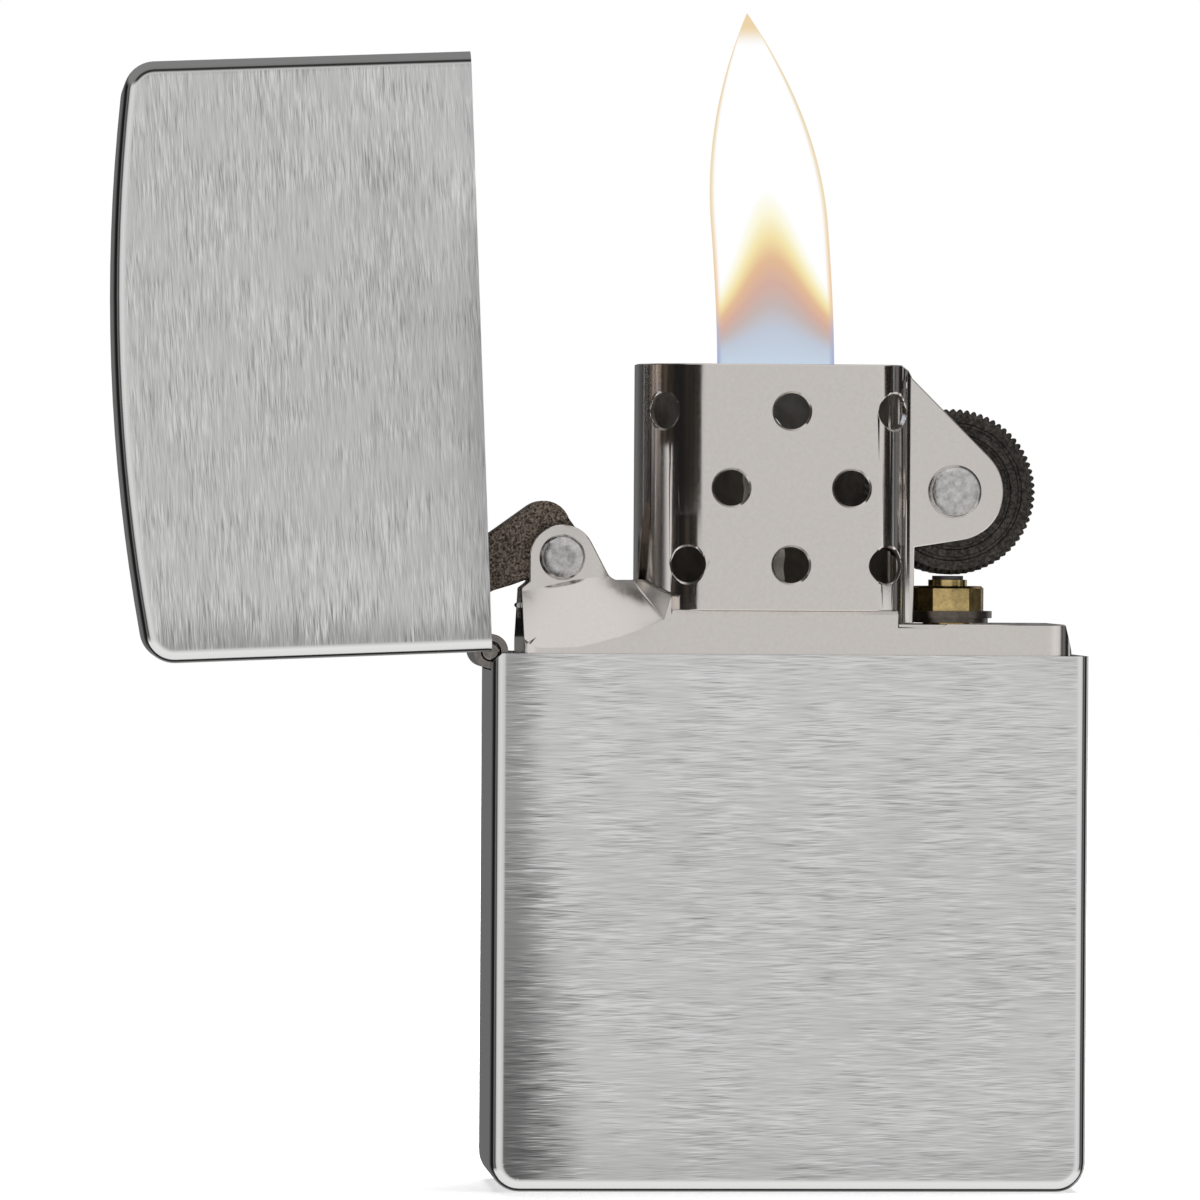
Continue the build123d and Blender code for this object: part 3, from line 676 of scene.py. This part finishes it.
# a soft panel behind the lighter, on the flint wheel's side, lights its back
panel_side = smooth_range(sky, axes.outputs["X"], 0.40, 0.60)
panel_back = smooth_range(sky, axes.outputs["Y"], 0.45, 0.60)
panel = math_node(sky, "MULTIPLY", panel_side, panel_back)
surround = mix_colour(sky, panel, surround, (0.60, 0.60, 0.60))
link(sky, surround, background.inputs["Color"])
background.inputs["Strength"].default_value = 1.0


def reflected_card(name, corners, material):
    """A card that only shows as a reflection in the open lighter."""
    def sheet(shape):
        verts = [shape.verts.new(Vector(corner) * MM) for corner in corners]
        shape.faces.new(verts)

    card = stage_object(name, sheet, material)
    card.visible_camera = False
    card.visible_diffuse = False
    card.visible_shadow = False
    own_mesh(card)
    return card


reflected_card(
    "shoulder_card",
    ((-22, -34, 64), (16, -34, 64), (16, -5.6, 64), (-22, -5.6, 64)),
    flat_shade("shoulder_glow", 0.80),
)


def striped_shade(name):
    """Uneven dark upright stripes, as of things beside the set."""
    material = bpy.data.materials.new(name)
    material.use_nodes = True
    tree = material.node_tree
    tree.nodes.clear()
    stripes = noise(tree, pattern_coords(tree, (2.6, 2.6, 90.0)), detail=2.0, roughness=0.6)
    stops = ((0.42, 0.010), (0.54, (0.030, 0.024, 0.019)), (0.66, (0.15, 0.12, 0.10)))
    tone = ramp(tree, stripes, stops)
    glow = tree.nodes.new("ShaderNodeEmission")
    link(tree, tone, glow.inputs["Color"])
    output = tree.nodes.new("ShaderNodeOutputMaterial")
    link(tree, glow.outputs["Emission"], output.inputs["Surface"])
    return material


dark_stripes = striped_shade("dark_stripes")
reflected_card(
    "upper_end_card",
    ((-11.5, -7.0, 43.0), (-10.0, -55.0, 43.0), (-10.0, -55.0, 62.0), (-11.5, -7.0, 62.0)),
    dark_stripes,
)
reflected_card(
    "far_end_card",
    ((-12.4, -4.4, 47.5), (-11.5, -7.0, 47.5), (-11.5, -7.0, 62.0), (-12.4, -4.4, 62.0)),
    dark_stripes,
)
reflected_card(
    "lower_end_card",
    ((-11.3, -7.0, 36.0), (-9.0, -20.0, 36.0), (-9.0, -20.0, 43.0), (-11.3, -7.0, 43.0)),
    dark_stripes,
)


reflected_card(
    "bend_card",
    ((18.5, -22.0, 38.5), (34.0, -14.0, 38.5), (34.0, -14.0, 60.0), (18.5, -22.0, 60.0)),
    dark_stripes,
)
reflected_card(
    "wall_card",
    ((-30.0, 14.0, 35.0), (-17.0, 14.0, 35.0), (-17.0, 14.0, 41.5), (-30.0, 14.0, 41.5)),
    flat_shade("wall_shade", 0.005),
)


# ------------------------------------------------------------------ flame
def flame_glow():
    """Blue at the wick, a dull orange arch over it, then white inside a yellow edge."""
    material = bpy.data.materials.new("flame_glow")
    material.use_nodes = True
    tree = material.node_tree
    tree.nodes.clear()
    rise = smooth_range(tree, place_parts(tree)[2], screen_top_z, flame_top_z)
    rise.node.interpolation_type = "LINEAR"
    limb = tree.nodes.new("ShaderNodeLayerWeight")
    limb.inputs["Blend"].default_value = 0.5
    across = math_node(tree, "SUBTRACT", 1.0, limb.outputs["Facing"])
    across = math_node(tree, "MULTIPLY", across, across)
    across = math_node(tree, "SUBTRACT", 1.0, across)
    arch = math_node(tree, "MULTIPLY_ADD", across, 1.5, 1.0)
    arch = math_node(tree, "MULTIPLY", arch, rise)
    core = ramp(tree, arch, (
        (0.0, (0.56, 0.66, 0.78)), (0.10, (0.53, 0.58, 0.68)), (0.17, (0.56, 0.47, 0.45)),
        (0.23, (0.66, 0.43, 0.36)), (0.30, (0.77, 0.50, 0.31)), (0.36, (0.90, 0.76, 0.40)),
        (0.43, (0.97, 0.94, 0.72)), (0.50, (1.0, 1.0, 1.0)),
    ))
    edge = smooth_range(tree, across, 0.80, 0.985)
    tip = smooth_range(tree, rise, 0.90, 0.965)
    edge = math_node(tree, "MAXIMUM", edge, tip)
    edge_colour = ramp(tree, rise, (
        (0.0, (0.36, 0.44, 0.68)), (0.10, (0.52, 0.48, 0.55)), (0.17, (0.86, 0.60, 0.38)),
        (0.5, (0.84, 0.70, 0.46)), (0.8, (0.80, 0.66, 0.42)), (1.0, (0.86, 0.66, 0.40)),
    ))
    colour = mix_colour(tree, edge, core, edge_colour)
    glow = tree.nodes.new("ShaderNodeEmission")
    link(tree, colour, glow.inputs["Color"])
    output = tree.nodes.new("ShaderNodeOutputMaterial")
    link(tree, glow.outputs["Emission"], output.inputs["Surface"])
    return material


flame_foot = Vector((-0.6 * MM, 0.0, screen_top_z))
flame_height = 22.6 * MM
flame_top_z = flame_foot.z + flame_height
flame_radius = 3.76 * MM
flame_lean = 2.0 * MM


def flame(shape):
    """A pointed flame that leans as it rises; its foot is down in the windscreen."""
    foot_depth = 0.04
    point_length = 0.6
    lean_curve = 1.6
    bmesh.ops.create_uvsphere(shape, u_segments=48, v_segments=64, radius=1.0)
    for vert in shape.verts:
        rise = -foot_depth + (1 + foot_depth) * (vert.co.z + 1) / 2
        from_tip = min(1.0, (1 - rise) / point_length)
        width = flame_radius * (1 - (1 - from_tip) ** 2)
        if rise < 0:
            width *= math.sqrt(max(0.0, 1 - (rise / foot_depth) ** 2))
        flat = Vector((vert.co.x, vert.co.y, 0.0))
        flat = flat.normalized() * width if flat.length > 1e-6 else flat * 0
        lean = -flame_lean * max(0.0, rise) ** lean_curve
        vert.co = flame_foot + flat + Vector((lean, 0.0, rise * flame_height))
    for face in shape.faces:
        face.smooth = True


burning = stage_object("flame", flame, flame_glow())
burning.visible_shadow = False
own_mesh(burning)


def soft_light(name, place, aim, size, power):
    """A square soft light that points at a place."""
    light = bpy.data.lights.new(name, "AREA")
    light.size = size
    light.energy = power
    thing = bpy.data.objects.new(name, light)
    thing.location = place
    thing.rotation_euler = (Vector(aim) - Vector(place)).to_track_quat("-Z", "Y").to_euler()
    bpy.context.scene.collection.objects.link(thing)
    return thing


overhead = soft_light("overhead", (0.1, 0.3, 1.2), (0, 0, 0), 1.0, 22.0)
overhead.visible_glossy = False

# ------------------------------------------------------------------ camera
camera_azimuth = math.radians(-4.2)
camera_elevation = math.radians(0.5)
camera_distance = 0.55
camera_roll = math.radians(0.37)
view_width = 76.1 * MM
camera_target = Vector((-12.28 * MM, -face_y, 37.62 * MM))
camera_data = bpy.data.cameras.new("camera")
camera_data.sensor_width = 36.0
camera_data.lens = camera_data.sensor_width * camera_distance / view_width
camera_data.clip_start = 0.01
camera_data.clip_end = 50.0
camera = bpy.data.objects.new("camera", camera_data)
camera_back = Vector((
    math.sin(camera_azimuth) * math.cos(camera_elevation),
    -math.cos(camera_azimuth) * math.cos(camera_elevation),
    math.sin(camera_elevation),
))
camera.location = camera_target + camera_back * camera_distance
camera_aim = (-camera_back).to_track_quat("-Z", "Y").to_matrix().to_4x4()
camera.rotation_euler = (camera_aim @ Matrix.Rotation(camera_roll, 4, "Z")).to_euler()
bpy.context.scene.collection.objects.link(camera)
bpy.context.scene.camera = camera
bpy.context.scene.view_settings.view_transform = "Standard"
bpy.context.scene.view_settings.look = "None"
